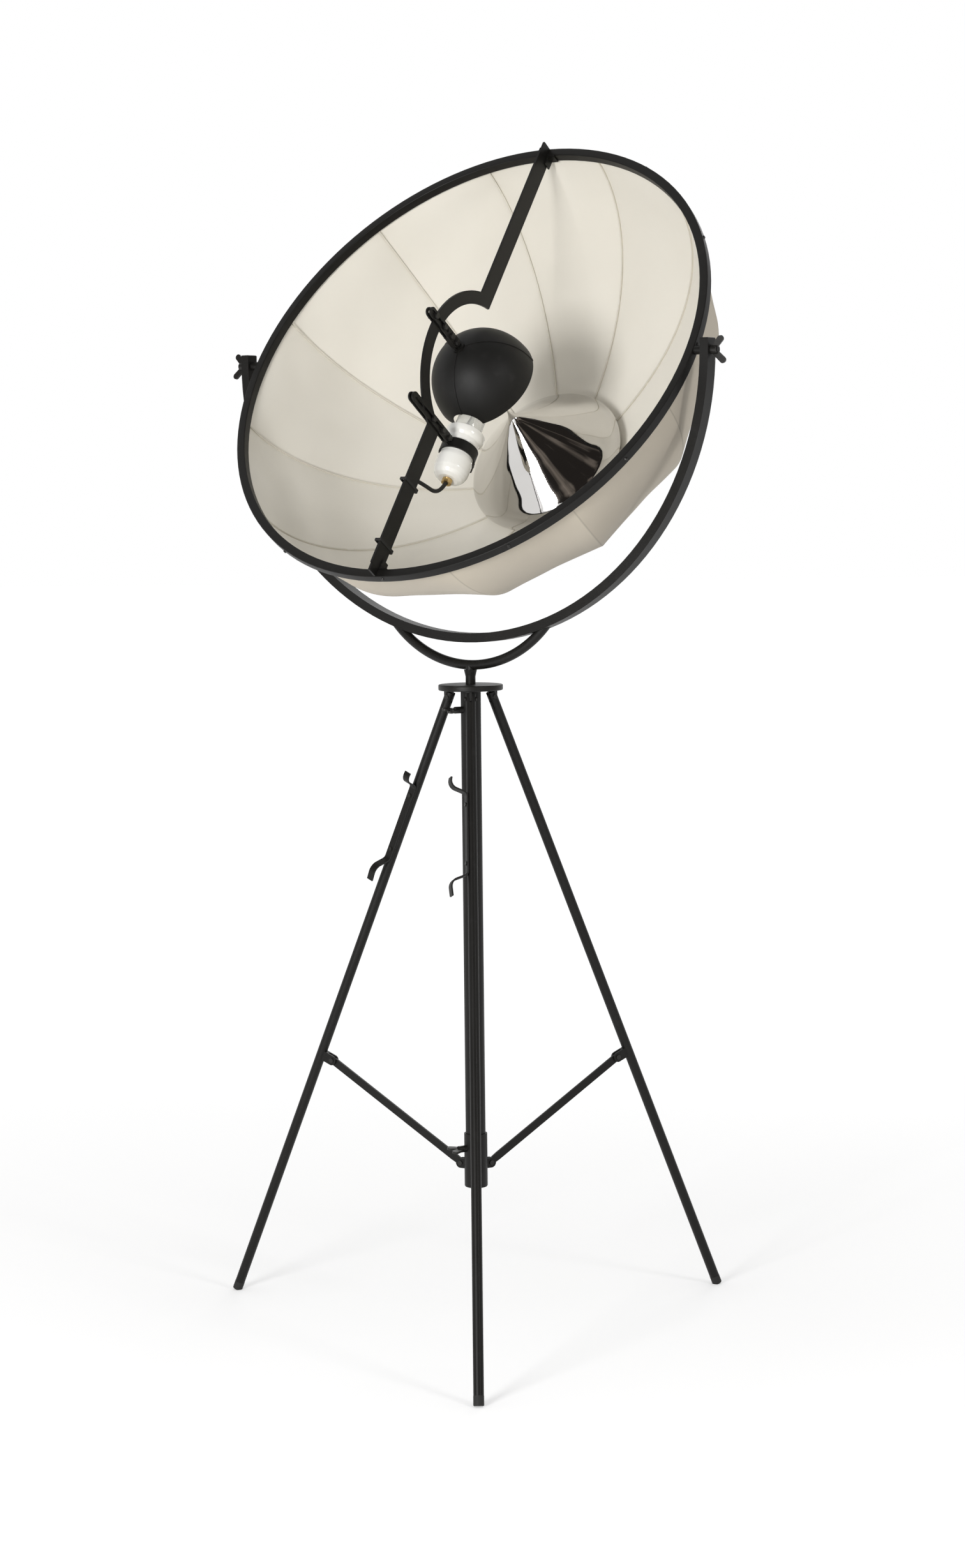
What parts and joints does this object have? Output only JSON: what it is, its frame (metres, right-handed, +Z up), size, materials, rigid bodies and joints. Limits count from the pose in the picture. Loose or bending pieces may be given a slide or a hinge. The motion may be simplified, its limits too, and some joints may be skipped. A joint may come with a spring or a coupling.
{
  "type": "tripod floor lamp",
  "caption": "Floor lamp on a folding tripod: a large tilting fabric umbrella shade in a yoke, with a hooded bulb facing a mirror cone.",
  "frame": {"origin": "on the floor under the column's axis", "axes": "+Z up; -Y towards the front leg and the viewer; +X to the viewer's right"},
  "size_m": [0.908, 0.9314, 2.0902],
  "materials": {
    "black_paint": "semi-matt black paint",
    "fastener": "blackened steel",
    "brass": "satin brass",
    "porcelain": "glazed white porcelain",
    "bulb_glass": "clear glass",
    "tungsten": "drawn wire",
    "mirror": "polished mirror",
    "canopy_fabric": "closely woven, off-white inside and beige outside",
    "rubber": "matt",
    "lead_jacket": "matt"
  },
  "bodies": {
    "tripod_head": {"hub_plate": "black_paint", "column_tube": "black_paint", "stem_bush": "brass", "leg_lugs": "black_paint", "leg_hinge_pins": "fastener"},
    "stem_screw": {"stem_wing_screw": "fastener"},
    "collar": {"collar_sleeve": "black_paint", "collar_guide_tube": "black_paint", "collar_rivets": "fastener"},
    "collar_screw": {"collar_wing_screw": "fastener"},
    "stem_guide": {"stem_guide_ring": "brass"},
    "yoke": {"stem_tube": "black_paint", "stem_stop_rings": "black_paint", "support_arc": "black_paint", "yoke_arc": "black_paint"},
    "wing_nut_left": {"wing_nut_left": "fastener"},
    "wing_nut_right": {"wing_nut_right": "fastener"},
    "shade": {"rim_ring": "black_paint", "rim_screws": "fastener", "pivot_studs": "black_paint", "canopy": "canopy_fabric", "ribs": "black_paint", "apex_plate": "black_paint", "apex_cap": "black_paint", "mirror_spider": "fastener", "mirror_cone": "mirror", "crossbar": "black_paint", "lamp_straps": "black_paint", "lamp_bolts": "fastener", "holder_clamp": "black_paint", "lead": "lead_jacket", "lead_grommet": "rubber", "lead_ties": "rubber"},
    "hood_clamp": {"hood_clamp_bolts": "fastener"},
    "hood": {"hood_straps": "black_paint", "hood_bolts": "fastener", "hood_dome": "black_paint", "hood_tang": "black_paint"},
    "lampholder": {"holder_porcelain": "porcelain", "holder_nipple": "brass", "holder_contacts": "brass", "bulb_cap": "brass", "bulb_glass": "bulb_glass", "bulb_post": "bulb_glass", "bulb_filament": "tungsten"},
    "leg_front": {"leg_front_tube": "black_paint", "leg_front_foot": "rubber", "leg_front_rivets": "fastener", "leg_front_cleat": "black_paint"},
    "strut_front": {"strut_front": "black_paint"},
    "leg_right": {"leg_right_tube": "black_paint", "leg_right_foot": "rubber", "leg_right_rivets": "fastener"},
    "strut_right": {"strut_right": "black_paint"},
    "leg_left": {"leg_left_tube": "black_paint", "leg_left_foot": "rubber", "leg_left_rivets": "fastener", "leg_left_cleat": "black_paint"},
    "strut_left": {"strut_left": "black_paint"}
  },
  "joints": [
    {"name": "leg_front_hinge", "type": "hinge", "parent": "tripod_head", "child": "leg_front", "pos_m": [0, -0.044, 1.115], "axis": [1, 0, 0], "range_deg": [0, 6]},
    {"name": "leg_right_hinge", "type": "hinge", "parent": "tripod_head", "child": "leg_right", "pos_m": [0.0381, 0.022, 1.115], "axis": [-0.5, 0.866, 0], "range_deg": [0, 6]},
    {"name": "leg_left_hinge", "type": "hinge", "parent": "tripod_head", "child": "leg_left", "pos_m": [-0.0381, 0.022, 1.115], "axis": [-0.5, -0.866, 0], "range_deg": [0, 6]},
    {"name": "strut_front_hinge", "type": "hinge", "parent": "leg_front", "child": "strut_front", "pos_m": [0, -0.29706, 0.44897], "axis": [1, 0, 0], "range_deg": [-26.5, 0]},
    {"name": "strut_right_hinge", "type": "hinge", "parent": "leg_right", "child": "strut_right", "pos_m": [0.25726, 0.14853, 0.44897], "axis": [-0.5, 0.866, 0], "range_deg": [-26.5, 0]},
    {"name": "strut_left_hinge", "type": "hinge", "parent": "leg_left", "child": "strut_left", "pos_m": [-0.25726, 0.14853, 0.44897], "axis": [-0.5, -0.866, 0], "range_deg": [-26.5, 0]},
    {"name": "collar_slide", "type": "slide", "parent": "tripod_head", "child": "collar", "axis": [0, 0, -1], "range_m": [0, 0.1085]},
    {"name": "collar_screw_turn", "type": "hinge", "parent": "collar", "child": "collar_screw", "pos_m": [0, 0, 0.317], "axis": [-0.866, -0.5, 0], "continuous": true},
    {"name": "stem_screw_turn", "type": "hinge", "parent": "tripod_head", "child": "stem_screw", "pos_m": [0, 0, 1.094], "axis": [-0.866, -0.5, 0], "continuous": true},
    {"name": "stem_height", "type": "slide", "parent": "tripod_head", "child": "stem_guide", "axis": [0, 0, 1], "range_m": [0, 0.45]},
    {"name": "yoke_swivel", "type": "hinge", "parent": "stem_guide", "child": "yoke", "pos_m": [0, 0, 0.59], "axis": [0, 0, 1], "continuous": true},
    {"name": "shade_tilt", "type": "hinge", "parent": "yoke", "child": "shade", "pos_m": [0, 0, 1.702], "axis": [0.8192, -0.5736, 0], "continuous": true},
    {"name": "wing_nut_right_turn", "type": "hinge", "parent": "yoke", "child": "wing_nut_right", "pos_m": [0, 0, 1.702], "axis": [0.8192, -0.5736, 0], "continuous": true},
    {"name": "wing_nut_left_turn", "type": "hinge", "parent": "yoke", "child": "wing_nut_left", "pos_m": [0, 0, 1.702], "axis": [0.8192, -0.5736, 0], "continuous": true},
    {"name": "hood_swing", "type": "hinge", "parent": "shade", "child": "hood_clamp", "pos_m": [0.01186, 0.01693, 1.66234], "axis": [0.8192, -0.5736, 0], "range_deg": [-8, 0]},
    {"name": "hood_reach", "type": "slide", "parent": "hood_clamp", "child": "hood", "axis": [-0.4646, -0.6635, 0.5864], "range_m": [0, 0.01]},
    {"name": "holder_slide", "type": "slide", "parent": "shade", "child": "lampholder", "axis": [0.3363, 0.4803, 0.81], "range_m": [-0.012, 0]}
  ],
  "couplings": [
    {"joint": "leg_right_hinge", "follows": "leg_front_hinge", "ratio": 1},
    {"joint": "leg_left_hinge", "follows": "leg_front_hinge", "ratio": 1},
    {"joint": "strut_front_hinge", "follows": "leg_front_hinge", "ratio": -4.4},
    {"joint": "strut_right_hinge", "follows": "leg_front_hinge", "ratio": -4.4},
    {"joint": "strut_left_hinge", "follows": "leg_front_hinge", "ratio": -4.4},
    {"joint": "collar_slide", "follows": "leg_front_hinge", "m_per_rad": 1.0313}
  ]
}
